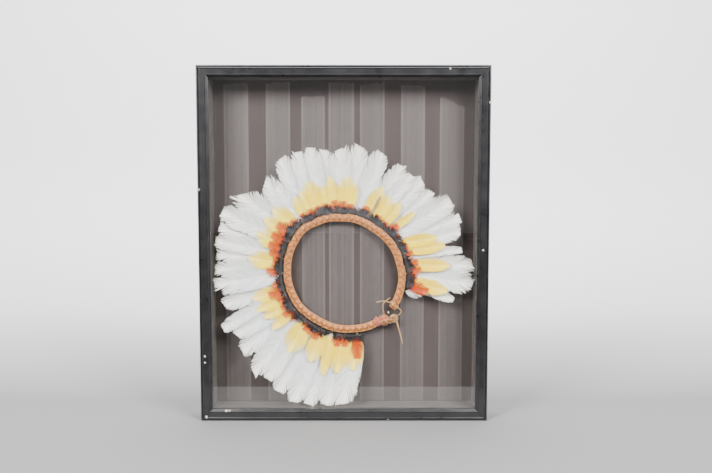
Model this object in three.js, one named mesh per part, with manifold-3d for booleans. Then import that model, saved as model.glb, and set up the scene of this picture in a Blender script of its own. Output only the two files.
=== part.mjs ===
// A feathered headdress on its cane head ring, held in a glazed display box frame.
// Millimetres, +Z up. The box stands on z = 0, its glass faces -Y, and x = 0 is its middle.
import * as THREE from 'three';
import { mergeVertices } from 'three/addons/utils/BufferGeometryUtils.js';
import Module from 'manifold-3d';

const wasm = await Module();
wasm.setup();

// ---------------------------------------------------------------- driving dimensions

const GAP = 0.35;                       // between pieces that touch
const BOX = { width: 500, height: 614, depth: 62 };
const FRONT = -BOX.depth / 2;           // y of the frame's front plane

// The moulding: a face of the given width, a side wall behind it, and a lip over the glass.
const MOULDING = { face: 21, wall: 12, lip: 7, mitreGap: 0.25 };
// Its front, from the outer edge inwards: how far in, and how far behind the front plane.
const MOULDING_FRONT = [
  { across: 0, back: 5 },
  { across: 1.2, back: 2.7 },
  { across: 3.2, back: 2.2 },
  { across: 4.2, back: 3.4 },
  { across: 4.7, back: 0.7 },
  { across: 5.6, back: 0 },
  { across: 6.6, back: 0.7 },
  { across: 7.2, back: 1.1 },
  { across: 15.4, back: 1.1 },
  { across: 16.1, back: 0.4 },
  { across: 17, back: 0 },
  { across: 17.9, back: 0.5 },
  { across: 18.4, back: 1.7 },
  { across: 21, back: 3.2 },
];
const GLASS = { thickness: 2.5 };
const SPACER = { depth: 45.2 };         // holds the glass and the board apart
const BOARD = { thickness: 5 };

const GLASS_FRONT = FRONT + MOULDING.lip + GAP;
const SPACER_FRONT = GLASS_FRONT + GLASS.thickness + GAP;
const BOARD_FRONT = SPACER_FRONT + SPACER.depth + GAP;

// The head ring: a cane hoop of oval section, just off the board, open at its lower right.
// Angles run clockwise from the top, in degrees.
const RING = { x: 2, z: 255, across: 13, deep: 12, standOff: 4.9 };
const RING_Y = BOARD_FRONT - RING.standOff - RING.deep / 2;
const RING_BENDS = [
  { at: -224, radius: 111 },
  { at: -211, radius: 104 },
  { at: -180, radius: 100 },
  { at: -150, radius: 97.5 },
  { at: -120, radius: 100.5 },
  { at: -90, radius: 102.5 },
  { at: -60, radius: 105.5 },
  { at: -45, radius: 107.5 },
  { at: -25, radius: 103 },
  { at: 0, radius: 98 },
  { at: 35, radius: 94 },
  { at: 75, radius: 97.5 },
  { at: 100, radius: 101.5 },
  { at: 127, radius: 103.5 },
];
const RING_STEPS = 58;

// The feathers lie in layers, and the whole fan bends forward towards the glass.
const FAN = { start: 104, end: 232, forward: 33, power: 1.1 };
const LAYER = {                         // the back of each layer at the ring
  white: [BOARD_FRONT - 2.5, BOARD_FRONT - 5.1, BOARD_FRONT - 7.7],
  yellow: BOARD_FRONT - 10.4,
  orange: BOARD_FRONT - 12.3,
  black: BOARD_FRONT - 14.2,
};

// Vane outlines: the share of the full width at each share of the length.
const LONG_VANE = [
  { along: 0, share: 0.3 },
  { along: 0.12, share: 0.55 },
  { along: 0.32, share: 0.86 },
  { along: 0.62, share: 1 },
  { along: 0.84, share: 0.95 },
  { along: 0.95, share: 0.74 },
  { along: 1, share: 0.36 },
];
const ROUND_VANE = [
  { along: 0, share: 0.55 },
  { along: 0.35, share: 0.9 },
  { along: 0.68, share: 1 },
  { along: 0.9, share: 0.68 },
  { along: 1, share: 0.2 },
];
const SHORT_VANE = [
  { along: 0, share: 0.5 },
  { along: 0.65, share: 1 },
  { along: 1, share: 0.45 },
];

// Feather charts. root and tip are angles, reach is the tip's distance from the ring's middle,
// bow is a sideways bend of the shaft, and slant is how far the clockwise corner runs ahead.
const WHITE_FEATHERS = [
  { root: -191, tip: -178.5, reach: 229, width: 34, slant: 8, layer: 2 },
  { root: -180, tip: -171.5, reach: 233, width: 28, slant: 0, layer: 1 },
  { root: -168, tip: -164.5, reach: 239, width: 27, bow: 3, layer: 0 },
  { root: -157, tip: -158, reach: 242, width: 27, slant: 4, layer: 1 },
  { root: -147, tip: -150.5, reach: 238, width: 29, layer: 0 },
  { root: -139, tip: -143.5, reach: 229, width: 24, layer: 2 },
  { root: -132, tip: -137, reach: 236, width: 28, slant: -8, layer: 1 },
  { root: -123.5, tip: -126.5, reach: 226, width: 32, slant: -4, layer: 0 },
  { root: -117, tip: -119, reach: 219, width: 27, slant: 6, layer: 1 },
  { root: -108, tip: -114, reach: 233, width: 20, bow: 2, layer: 2 },
  { root: -102, tip: -104, reach: 219, width: 25, slant: 6, layer: 0 },
  { root: -90, tip: -94, reach: 227, width: 34, layer: 2 },
  { root: -83.5, tip: -87.5, reach: 226, width: 25, layer: 1 },
  { root: -77.5, tip: -81, reach: 226, width: 26, layer: 0 },
  { root: -71.5, tip: -75, reach: 232, width: 24, layer: 1 },
  { root: -66, tip: -69, reach: 233, width: 24, layer: 0 },
  { root: -60.5, tip: -62.5, reach: 239, width: 30, layer: 2 },
  { root: -50, tip: -52.5, reach: 229, width: 34, slant: -22, layer: 0 },
  { root: -44, tip: -40, reach: 214, width: 28, slant: 14, layer: 1 },
  { root: -40, tip: -37, reach: 194, width: 26, slant: 10, layer: 2 },
  { root: -34, tip: -28.5, reach: 230, width: 28, slant: 4, layer: 0 },
  { root: -25.5, tip: -21, reach: 228, width: 26, slant: -4, layer: 1 },
  { root: -18.5, tip: -15, reach: 228, width: 22, slant: -4, layer: 2 },
  { root: -12.5, tip: -9.5, reach: 220, width: 22, slant: -4, layer: 0 },
  { root: -4.5, tip: -2, reach: 219, width: 31, slant: 10, layer: 1 },
  { root: 3, tip: 6.5, reach: 225, width: 28, slant: -6, layer: 0 },
  { root: 11.5, tip: 16.5, reach: 221, width: 28, slant: -4, layer: 1 },
  { root: 21, tip: 27.5, reach: 214, width: 25, slant: 4, layer: 0 },
  { root: 27.5, tip: 33.5, reach: 208, width: 20, layer: 2 },
  { root: 34.5, tip: 39, reach: 212, width: 25, slant: -6, layer: 1 },
  { root: 42.5, tip: 46, reach: 209, width: 21, slant: 4, layer: 0 },
  { root: 51, tip: 55, reach: 224, width: 32, layer: 1 },
  { root: 58, tip: 63.5, reach: 223, width: 24, layer: 0 },
  { root: 63.5, tip: 69, reach: 214, width: 24, slant: -4, layer: 2 },
  { root: 75, tip: 78, reach: 208, width: 13, bow: -2, layer: 1 },
  { root: 82, tip: 85.5, reach: 223, width: 26, slant: 6, layer: 0 },
  { root: 91, tip: 94, reach: 223, width: 33, slant: -6, layer: 1 },
  { root: 100, tip: 103.5, reach: 196, width: 14, layer: 0 },
];
const YELLOW_FEATHERS = [
  { root: -190, tip: -184.5, reach: 172, width: 24 },
  { root: -177, tip: -175, reach: 176, width: 27 },
  { root: -167, tip: -167.5, reach: 184, width: 14 },
  { root: -158, tip: -158, reach: 168, width: 24 },
  { root: -141, tip: -144, reach: 171, width: 30 },
  { root: -126, tip: -127, reach: 162, width: 14 },
  { root: -119, tip: -118.5, reach: 163, width: 15 },
  { root: -112, tip: -112.5, reach: 169, width: 15 },
  { root: -105, tip: -105, reach: 168, width: 19 },
  { root: -80, tip: -80.5, reach: 171, width: 25 },
  { root: -64.5, tip: -64.5, reach: 170, width: 28 },
  { root: -55.5, tip: -55, reach: 172, width: 17 },
  { root: -45.5, tip: -47.5, reach: 170, width: 23 },
  { root: -35, tip: -33, reach: 162, width: 16 },
  { root: -29.5, tip: -28, reach: 166, width: 10 },
  { root: -22, tip: -21.5, reach: 174, width: 27 },
  { root: -14, tip: -14, reach: 158, width: 14 },
  { root: -9, tip: -9, reach: 174, width: 14 },
  { root: 1.5, tip: 1.5, reach: 170, width: 30 },
  { root: 20, tip: 23.5, reach: 166, width: 21 },
  { root: 30, tip: 30, reach: 156, width: 18 },
  { root: 38, tip: 37.5, reach: 158, width: 17 },
  { root: 46.5, tip: 48.5, reach: 164, width: 11 },
  { root: 61, tip: 68, reach: 173, width: 17 },
  { root: 69, tip: 73.5, reach: 182, width: 18 },
  { root: 82.5, tip: 85, reach: 184, width: 18 },
  { root: 97, tip: 99.5, reach: 182, width: 20 },
];
const ORANGE_FEATHERS = [
  { root: -190.5, tip: -188, reach: 153, width: 16 },
  { root: -179.5, tip: -179.5, reach: 131, width: 16 },
  { root: -173.5, tip: -173, reach: 131, width: 15 },
  { root: -155, tip: -154.5, reach: 130, width: 18 },
  { root: -149.5, tip: -149.5, reach: 127, width: 14 },
  { root: -144, tip: -144, reach: 126, width: 16 },
  { root: -131.5, tip: -131, reach: 126, width: 13 },
  { root: -124, tip: -124.5, reach: 133, width: 17 },
  { root: -118.5, tip: -118.5, reach: 130, width: 12 },
  { root: -113, tip: -112.5, reach: 130, width: 14 },
  { root: -106, tip: -106, reach: 141, width: 19 },
  { root: -99, tip: -99, reach: 130, width: 14 },
  { root: -88, tip: -88, reach: 139, width: 17 },
  { root: -80, tip: -80, reach: 130, width: 17 },
  { root: -74, tip: -74, reach: 139, width: 13 },
  { root: -68.5, tip: -68.5, reach: 145, width: 15 },
  { root: -61, tip: -61.5, reach: 147, width: 17 },
  { root: -53.5, tip: -53.5, reach: 148, width: 18 },
  { root: -45.5, tip: -46, reach: 134, width: 17 },
  { root: -36, tip: -36, reach: 131, width: 17 },
  { root: -29.5, tip: -29, reach: 130, width: 14 },
  { root: -23, tip: -23, reach: 129, width: 15 },
  { root: -16.5, tip: -16, reach: 129, width: 15 },
  { root: -8.5, tip: -8.5, reach: 131, width: 18 },
  { root: -1.5, tip: -1.5, reach: 128, width: 16 },
  { root: 4.5, tip: 4.5, reach: 123, width: 14 },
  { root: 17.5, tip: 17.5, reach: 125, width: 18 },
  { root: 30, tip: 30, reach: 119, width: 17 },
  { root: 38.5, tip: 38.5, reach: 117, width: 15 },
  { root: 47, tip: 47, reach: 127, width: 14 },
  { root: 54.5, tip: 54.5, reach: 118, width: 14 },
  { root: 66, tip: 66, reach: 121, width: 16 },
  { root: 72.5, tip: 72, reach: 125, width: 13 },
  { root: 81, tip: 81, reach: 130, width: 14 },
  { root: 87, tip: 87, reach: 135, width: 16 },
  { root: 94, tip: 94, reach: 128, width: 13 },
  { root: 101, tip: 102, reach: 150, width: 17 },
];
// The black row: one short feather every few degrees, each swept round towards the next.
const BLACK_ROW = { every: 9, width: 22, length: 14, shorter: 4, swept: 4 };
// A bare stretch of the black and orange rows, where a long yellow feather starts at the ring.
const ROW_SPANS = [
  { name: 'lower', from: -195, to: -171.5 },
  { name: 'main', from: -161, to: 104 },
];
const BROWN_FEATHER = { root: 24, tip: 24.5, reach: 151, width: 5 };
const DOWN_TUFT = { root: 107, tip: 107, reach: 140, width: 14 };
const BINDING = { start: 2.4, width: 5, step: 9 };  // the strip that a row is tied to

// The tie at the lower right: red thread round one end, and a string lashing to the other.
const THREAD = { from: -223.5, to: -211.5, thickness: 2.4 };
const TURNS = [
  { from: -222.6, to: -220.8 },
  { from: -219.6, to: -217.9 },
  { from: -216.6, to: -215 },
];
const HITCH = { from: 121.5, to: 124.5 };
const STRING = { thickness: 1.7 };
const KNOT = { x: 88, z: 174, radius: 8.5, deep: 6.5 };
const STRANDS = [                       // stiff ends of the string: x and z of three spots each,
  // and how far each lies in front of the ring's middle
  { girth: 1.7, front: 7, spots: [[57, 204], [71, 206], [88, 201]] },
  { girth: 1.6, front: 7.5, spots: [[71.5, 177], [69, 200], [81, 212]] },
  { girth: 1.9, front: 9.5, spots: [[61, 167], [71, 171.5], [88, 174]] },
  { girth: 1.6, front: 7, spots: [[90, 176], [101, 187], [92, 197]] },
  { girth: 3, front: 5, spots: [[91, 176], [98, 152], [104, 128]] },
];
const PIN = { x: 78.5, z: 185, shank: 1.2, head: 3.6 };
const POST = { width: 7, angles: [-62, 48] };     // plain hidden posts behind the ring

// ---------------------------------------------------------------- materials

const finish = (color, roughness, metalness = 0, extra = {}) =>
  new THREE.MeshStandardMaterial({ color, roughness, metalness, ...extra });

const MATERIALS = {
  moulding: finish('#3a393b', 0.42),
  spacer: finish('#2b2927', 0.7),
  glass: finish('#f2f5f4', 0.04, 0, { transparent: true, opacity: 0.25 }),
  board: finish('#867d7a', 0.95),
  cane: finish('#d3a069', 0.7),
  thread: finish('#b8565a', 0.85),
  string: finish('#c9ae8c', 0.85),
  pin: finish('#c9c9c6', 0.3, 0.9),
  white: finish('#e8e5dd', 0.85),
  yellow: finish('#efdc72', 0.85),
  orange: finish('#e0703c', 0.85),
  black: finish('#25262c', 0.45),
  brown: finish('#8c7350', 0.85),
};

// ---------------------------------------------------------------- helpers

const radians = THREE.MathUtils.degToRad;

// A spot on the headdress, from its clockwise angle and its distance from the ring's middle.
function spot(angle, radius, y = 0) {
  const turn = radians(angle);
  return new THREE.Vector3(RING.x + radius * Math.sin(turn), y, RING.z + radius * Math.cos(turn));
}

function distanceFromRing(point) {
  return Math.hypot(point.x - RING.x, point.z - RING.z);
}

// How far forward the fan has bent at this distance from the ring's middle.
function forward(radius) {
  const share = Math.max(0, (radius - FAN.start) / (FAN.end - FAN.start));
  return FAN.forward * share ** FAN.power;
}

function ringRadius(angle) {
  const last = RING_BENDS.length - 1;
  const next = Math.min(last, Math.max(1, RING_BENDS.findIndex((bend) => bend.at >= angle)));
  const a = RING_BENDS[next - 1];
  const b = RING_BENDS[next];
  const share = THREE.MathUtils.smoothstep(angle, a.at, b.at);
  return THREE.MathUtils.lerp(a.radius, b.radius, share);
}

const ringOuter = (angle) => ringRadius(angle) + RING.across / 2;

function signedVolume(geometry) {
  const at = geometry.getAttribute('position');
  const index = geometry.getIndex();
  const [a, b, c] = [new THREE.Vector3(), new THREE.Vector3(), new THREE.Vector3()];
  let sum = 0;
  for (let i = 0; i < index.count; i += 3) {
    a.fromBufferAttribute(at, index.getX(i));
    b.fromBufferAttribute(at, index.getX(i + 1));
    c.fromBufferAttribute(at, index.getX(i + 2));
    sum += a.dot(b.cross(c)) / 6;
  }
  return sum;
}

// A closed body through a row of sections, each a convex loop with the same number of points.
function loft(sections) {
  const size = sections[0].length;
  const corner = (row, place) => row * size + (place % size);
  const faces = [];
  for (let row = 0; row + 1 < sections.length; row += 1) {
    for (let place = 0; place < size; place += 1) {
      const [a, b] = [corner(row, place), corner(row, place + 1)];
      const [c, d] = [corner(row + 1, place + 1), corner(row + 1, place)];
      faces.push(a, b, c, a, c, d);
    }
  }
  const end = sections.length - 1;
  for (let place = 1; place + 1 < size; place += 1) {
    faces.push(corner(0, 0), corner(0, place + 1), corner(0, place));
    faces.push(corner(end, 0), corner(end, place), corner(end, place + 1));
  }
  const geometry = new THREE.BufferGeometry().setFromPoints(sections.flat());
  geometry.setIndex(faces);
  if (signedVolume(geometry) < 0) {
    geometry.setIndex(faces.reverse());
  }
  return geometry;
}

function bare(geometry) {
  const copy = geometry.clone();
  copy.deleteAttribute('normal');
  copy.deleteAttribute('uv');
  return mergeVertices(copy, 1e-4);
}

function solid(geometry) {
  const merged = bare(geometry);
  return new wasm.Manifold(new wasm.Mesh({
    numProp: 3,
    vertProperties: Float32Array.from(merged.getAttribute('position').array),
    triVerts: Uint32Array.from(merged.getIndex().array),
  }));
}

function fromSolid(body) {
  const mesh = body.getMesh();
  const geometry = new THREE.BufferGeometry();
  geometry.setAttribute('position', new THREE.BufferAttribute(mesh.vertProperties, 3));
  geometry.setIndex(new THREE.BufferAttribute(mesh.triVerts, 1));
  return geometry;
}

const fuse = (geometries) => geometries.map(solid).reduce((all, one) => all.add(one));

const group = new THREE.Group();

function add(name, geometry, material, parent = group) {
  const mesh = new THREE.Mesh(geometry, material);
  mesh.name = name;
  parent.add(mesh);
  return mesh;
}

// ---------------------------------------------------------------- the display box

// One length of moulding along +X with mitred ends, its outer edge down on z = 0.
function mouldingLength(length) {
  const outline = MOULDING_FRONT.map(({ across, back }) => new THREE.Vector2(across, back));
  outline.push(new THREE.Vector2(MOULDING.face, MOULDING.lip));
  outline.push(new THREE.Vector2(MOULDING.wall, MOULDING.lip));
  outline.push(new THREE.Vector2(MOULDING.wall, BOX.depth));
  outline.push(new THREE.Vector2(0, BOX.depth));
  const geometry = new THREE.ExtrudeGeometry(new THREE.Shape(outline), {
    depth: length, bevelEnabled: false, steps: 1,
  });
  const at = geometry.getAttribute('position');
  for (let i = 0; i < at.count; i += 1) {
    const [across, back, end] = [at.getX(i), at.getY(i), at.getZ(i)];
    const inset = across + MOULDING.mitreGap;
    const x = end > length / 2 ? length / 2 - inset : inset - length / 2;
    at.setXYZ(i, x, FRONT + back, across);
  }
  const closed = bare(geometry);
  if (signedVolume(closed) < 0) {
    closed.setIndex(Array.from(closed.getIndex().array).reverse());
  }
  return closed;
}

function addMouldings() {
  const sides = [
    { name: 'frame_bottom_rail', length: BOX.width, turn: 0, x: 0, z: 0 },
    { name: 'frame_top_rail', length: BOX.width, turn: 180, x: 0, z: BOX.height },
    { name: 'frame_left_stile', length: BOX.height, turn: 90, x: -BOX.width / 2, z: BOX.height / 2 },
    { name: 'frame_right_stile', length: BOX.height, turn: -90, x: BOX.width / 2, z: BOX.height / 2 },
  ];
  for (const side of sides) {
    const mesh = add(side.name, mouldingLength(side.length), MATERIALS.moulding);
    mesh.rotation.y = radians(side.turn);
    mesh.position.set(side.x, 0, side.z);
  }
}

// A panel that fills the moulding's rabbet, from one depth to another.
function panel(front, thickness) {
  const width = BOX.width - 2 * (MOULDING.wall + GAP);
  const height = BOX.height - 2 * (MOULDING.wall + GAP);
  const geometry = new THREE.BoxGeometry(width, thickness, height);
  geometry.translate(0, front + thickness / 2, BOX.height / 2);
  return geometry;
}

function spacerRim() {
  const opening = new THREE.BoxGeometry(
    BOX.width - 2 * MOULDING.face, 2 * SPACER.depth, BOX.height - 2 * MOULDING.face);
  opening.translate(0, SPACER_FRONT + SPACER.depth / 2, BOX.height / 2);
  return fromSolid(solid(panel(SPACER_FRONT, SPACER.depth)).subtract(solid(opening)));
}

// ---------------------------------------------------------------- the head ring

// The ring's oval section at one angle, larger all round by the given amount.
function ringSection(angle, larger = 0) {
  const middle = ringRadius(angle);
  const sides = 8;
  return Array.from({ length: sides }, (_, side) => {
    const turn = ((side + 0.5) / sides) * 2 * Math.PI;
    const out = Math.cos(turn) / Math.cos(Math.PI / sides) * (RING.across / 2 + larger);
    const back = Math.sin(turn) / Math.cos(Math.PI / sides) * (RING.deep / 2 + larger);
    return spot(angle, middle + out, RING_Y + back);
  });
}

function ringStretch(from, to, steps, larger = 0) {
  return loft(Array.from({ length: steps + 1 }, (_, step) =>
    ringSection(THREE.MathUtils.lerp(from, to, step / steps), larger)));
}

// The whole hoop, larger all round by the given amount.
const hoop = (larger = 0) =>
  ringStretch(RING_BENDS[0].at, RING_BENDS.at(-1).at, RING_STEPS, larger);

// A sleeve round the ring between two angles.
function sleeve({ from, to }, inner, outer) {
  const far = 2 * RING_BENDS[0].radius;
  const ends = [spot(from, 0), spot(from, far), spot(to, far)];
  const wedge = loft([-1, 1].map((side) =>
    ends.map((end) => end.clone().setY(RING_Y + side * 2 * RING.deep))));
  return solid(hoop(outer)).intersect(solid(wedge)).subtract(solid(hoop(inner)));
}

// ---------------------------------------------------------------- feathers

// A thin vane: a flat back, two thin edges and, on a long one, a low ridge along its shaft.
function vane(feather, outline, back, { start = 2, edge = 0.7, ridge = 1.3 } = {}) {
  const { root, tip, reach, width, bow = 0, slant = 0 } = feather;
  const foot = spot(root, ringOuter(root) + start);
  const chord = spot(tip, reach).sub(foot);
  const ahead = chord.clone().normalize();
  const aside = new THREE.Vector3(ahead.z, 0, -ahead.x);
  const place = (centre, sideways, onward, thickness) => {
    const point = centre.clone().addScaledVector(aside, sideways).addScaledVector(ahead, onward);
    point.y = back - forward(distanceFromRing(point)) - thickness;
    return point;
  };
  return loft(outline.map(({ along, share }) => {
    const bend = bow * 4 * along * (1 - along);
    const centre = foot.clone().addScaledVector(chord, along).addScaledVector(aside, bend);
    const half = (width * share) / 2;
    const skew = (slant / 2) * along ** 4;
    const shaft = ridge > edge ? [place(centre, 0, 0, ridge)] : [];
    return [
      place(centre, -half, -skew, edge),
      ...shaft,
      place(centre, half, skew, edge),
      place(centre, half, skew, 0),
      place(centre, -half, -skew, 0),
    ];
  }));
}

// The strip that carries one stretch of a row, just outside the ring.
function binding(from, to, back, thickness = 1) {
  const steps = Math.ceil((to - from) / BINDING.step);
  return loft(Array.from({ length: steps + 1 }, (_, step) => {
    const angle = THREE.MathUtils.lerp(from, to, step / steps);
    const inner = ringOuter(angle) + BINDING.start;
    const outer = inner + BINDING.width;
    return [
      spot(angle, inner, back - thickness - forward(inner)),
      spot(angle, outer, back - thickness - forward(outer)),
      spot(angle, outer, back - forward(outer)),
      spot(angle, inner, back - forward(inner)),
    ];
  }));
}

function featherRow(feathers, outline, back, { from, to }) {
  const start = BINDING.start + BINDING.width / 2;
  const vanes = feathers.map((feather) =>
    vane(feather, outline, back, { start, edge: 0.8, ridge: 0.8 }));
  return fromSolid(fuse([binding(from, to, back), ...vanes]));
}

function blackFeathers({ from, to }) {
  const count = Math.round((to - from) / BLACK_ROW.every);
  return Array.from({ length: count }, (_, place) => {
    const root = THREE.MathUtils.lerp(from, to, (place + 0.5) / count);
    const sweep = BLACK_ROW.swept * Math.sin(place * 1.9);
    const length = BLACK_ROW.length - BLACK_ROW.shorter * Math.sin(place * 2.7) ** 2;
    return { root, tip: root + sweep, reach: ringOuter(root) + length, width: BLACK_ROW.width };
  });
}

function addFeathers() {
  WHITE_FEATHERS.forEach((feather, place) => {
    const name = `white_feather_${String(place + 1).padStart(2, '0')}`;
    add(name, vane(feather, LONG_VANE, LAYER.white[feather.layer]), MATERIALS.white);
  });
  const edges = { from: YELLOW_FEATHERS[0].root - 3, to: YELLOW_FEATHERS.at(-1).root + 4 };
  add('yellow_feather_row', featherRow(YELLOW_FEATHERS, ROUND_VANE, LAYER.yellow, edges),
    MATERIALS.yellow);
  for (const span of ROW_SPANS) {
    const inSpan = ({ root }) => root > span.from && root < span.to;
    const orange = ORANGE_FEATHERS.filter(inSpan);
    add(`orange_feather_row_${span.name}`,
      featherRow(orange, SHORT_VANE, LAYER.orange, span), MATERIALS.orange);
    add(`black_feather_row_${span.name}`,
      featherRow(blackFeathers(span), SHORT_VANE, LAYER.black, span), MATERIALS.black);
  }
  const onTop = { start: 12, edge: 0.5, ridge: 0.8 };
  add('brown_feather', vane(BROWN_FEATHER, ROUND_VANE, LAYER.orange, onTop), MATERIALS.brown);
  add('down_tuft', vane(DOWN_TUFT, ROUND_VANE, LAYER.white[1]), MATERIALS.white);
}

// ---------------------------------------------------------------- ties and pin

function strand({ girth, front, spots }) {
  const points = spots.map(([x, z]) => new THREE.Vector3(x, RING_Y - front, z));
  const route = new THREE.CatmullRomCurve3(points);
  const section = new THREE.Shape().absellipse(0, 0, girth / 2, girth / 2, 0, 2 * Math.PI);
  return new THREE.ExtrudeGeometry(section, {
    steps: 5, curveSegments: 3, bevelEnabled: false, extrudePath: route,
  });
}

function knot() {
  const geometry = new THREE.SphereGeometry(KNOT.radius, 8, 6);
  geometry.scale(1, KNOT.deep / KNOT.radius, 1);
  geometry.translate(KNOT.x, RING_Y - 2, KNOT.z);
  return geometry;
}

function stringLashing() {
  const onThread = THREAD.thickness + GAP;
  const turns = TURNS.map((turn) => sleeve(turn, onThread, onThread + STRING.thickness));
  const hitch = sleeve(HITCH, GAP, GAP + 1.5 * STRING.thickness);
  const pieces = [...turns, hitch, solid(knot()), ...STRANDS.map((one) => solid(strand(one)))];
  const clearance = sleeve({ from: THREAD.from - 0.5, to: THREAD.to + 0.5 }, 0, onThread);
  return pieces.reduce((all, one) => all.add(one)).subtract(solid(hoop(GAP))).subtract(clearance);
}

function mountPin() {
  const tip = BOARD_FRONT - GAP;
  const front = RING_Y - 4;
  const outline = [
    [0, front], [PIN.head / 2, front + 0.7], [PIN.head / 2, front + 1.4],
    [PIN.shank / 2, front + 1.8], [PIN.shank / 2, tip], [0, tip],
  ];
  const geometry = new THREE.LatheGeometry(outline.map(([r, y]) => new THREE.Vector2(r, y)), 12);
  geometry.translate(PIN.x, 0, PIN.z);
  const closed = bare(geometry);
  if (signedVolume(closed) < 0) {
    closed.setIndex(Array.from(closed.getIndex().array).reverse());
  }
  return closed;
}

// A plain post between the ring's back and the board.
function hiddenPost(angle) {
  const length = RING.standOff - 2 * GAP;
  const geometry = new THREE.CylinderGeometry(POST.width / 2, POST.width / 2, length, 12);
  const middle = spot(angle, ringRadius(angle), BOARD_FRONT - GAP - length / 2);
  geometry.translate(middle.x, middle.y, middle.z);
  return geometry;
}

// ---------------------------------------------------------------- the whole object

addMouldings();
add('glass_pane', panel(GLASS_FRONT, GLASS.thickness), MATERIALS.glass);
add('spacer_rim', spacerRim(), MATERIALS.spacer);
add('back_board', panel(BOARD_FRONT, BOARD.thickness), MATERIALS.board);
add('head_ring', hoop(), MATERIALS.cane);
add('thread_wrap', fromSolid(sleeve(THREAD, GAP, THREAD.thickness)), MATERIALS.thread);
add('string_lashing', fromSolid(stringLashing()), MATERIALS.string);
add('mount_pin', mountPin(), MATERIALS.pin);
POST.angles.forEach((angle, place) =>
  add(`hidden_post_${place + 1}`, hiddenPost(angle), MATERIALS.spacer));
addFeathers();

export default group;
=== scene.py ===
"""A feathered headdress on its cane head ring, held in a glazed display box frame.

Lengths in the tables are millimetres and angles are degrees, clockwise from the top of the
head ring as seen from the front. Everything that is built is in metres.
"""

import math

import bmesh
import bpy
import numpy as np
from bpy.props import FloatProperty, FloatVectorProperty, IntProperty, PointerProperty
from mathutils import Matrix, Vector


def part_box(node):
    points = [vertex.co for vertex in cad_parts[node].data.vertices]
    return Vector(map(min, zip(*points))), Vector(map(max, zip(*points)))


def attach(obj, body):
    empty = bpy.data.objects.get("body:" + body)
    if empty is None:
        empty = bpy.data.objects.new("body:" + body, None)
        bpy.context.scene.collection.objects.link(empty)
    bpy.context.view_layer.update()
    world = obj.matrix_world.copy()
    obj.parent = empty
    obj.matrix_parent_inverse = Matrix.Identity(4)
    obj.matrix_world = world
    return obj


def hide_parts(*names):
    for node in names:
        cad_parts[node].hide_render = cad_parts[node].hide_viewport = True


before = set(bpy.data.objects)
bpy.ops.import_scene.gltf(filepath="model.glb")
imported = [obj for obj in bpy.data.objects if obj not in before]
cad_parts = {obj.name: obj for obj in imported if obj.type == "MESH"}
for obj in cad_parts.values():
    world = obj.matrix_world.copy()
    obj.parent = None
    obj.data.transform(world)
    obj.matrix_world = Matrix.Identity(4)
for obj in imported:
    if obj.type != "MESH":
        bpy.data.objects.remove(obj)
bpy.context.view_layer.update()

bl_info = {
    "name": "Feathered Headdress",
    "version": (1, 0, 0),
    "blender": (4, 5, 0),
    "location": "3D View > Sidebar > Headdress",
    "description": "Dresses a feathered headdress and its display box, and sets the stage",
    "category": "Object",
}

MM = 0.001

# ---------------------------------------------------------------- sizes of the headdress

BOARD_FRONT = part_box("back_board")[0].y / MM
RING = {"x": 2.0, "z": 255.0, "across": 13.0, "deep": 12.0, "stand_off": 4.9}
RING_Y = BOARD_FRONT - RING["stand_off"] - RING["deep"] / 2
RING_BENDS = np.array([             # angle, radius of the ring's middle
    (-224, 111), (-211, 104), (-180, 100), (-150, 97.5), (-120, 100.5), (-90, 102.5),
    (-60, 105.5), (-45, 107.5), (-25, 103), (0, 98), (35, 94), (75, 97.5), (100, 101.5),
    (127, 103.5)])
FAN = {"start": 104.0, "end": 232.0, "forward": 33.0, "power": 1.1}
LAYER = {                           # the back of each layer at the ring
    "white": [BOARD_FRONT - 2.5, BOARD_FRONT - 5.1, BOARD_FRONT - 7.7],
    "yellow": BOARD_FRONT - 10.4,
    "orange": BOARD_FRONT - 12.3,
    "black": BOARD_FRONT - 14.2,
}

# Vane outlines: how far along, and the share of the full width there.
LONG_VANE = [(0, .45), (.12, .7), (.32, .94), (.62, 1), (.87, .98), (.96, .8), (1, .45)]
ROUND_VANE = [(0, .55), (.35, .9), (.68, 1), (.9, .68), (1, .2)]
SHORT_VANE = [(0, .5), (.65, 1), (1, .45)]
SPREAD = {"white": 1.3, "yellow": 1.4, "orange": 1.5, "black": 1.15}    # times wider

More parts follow.
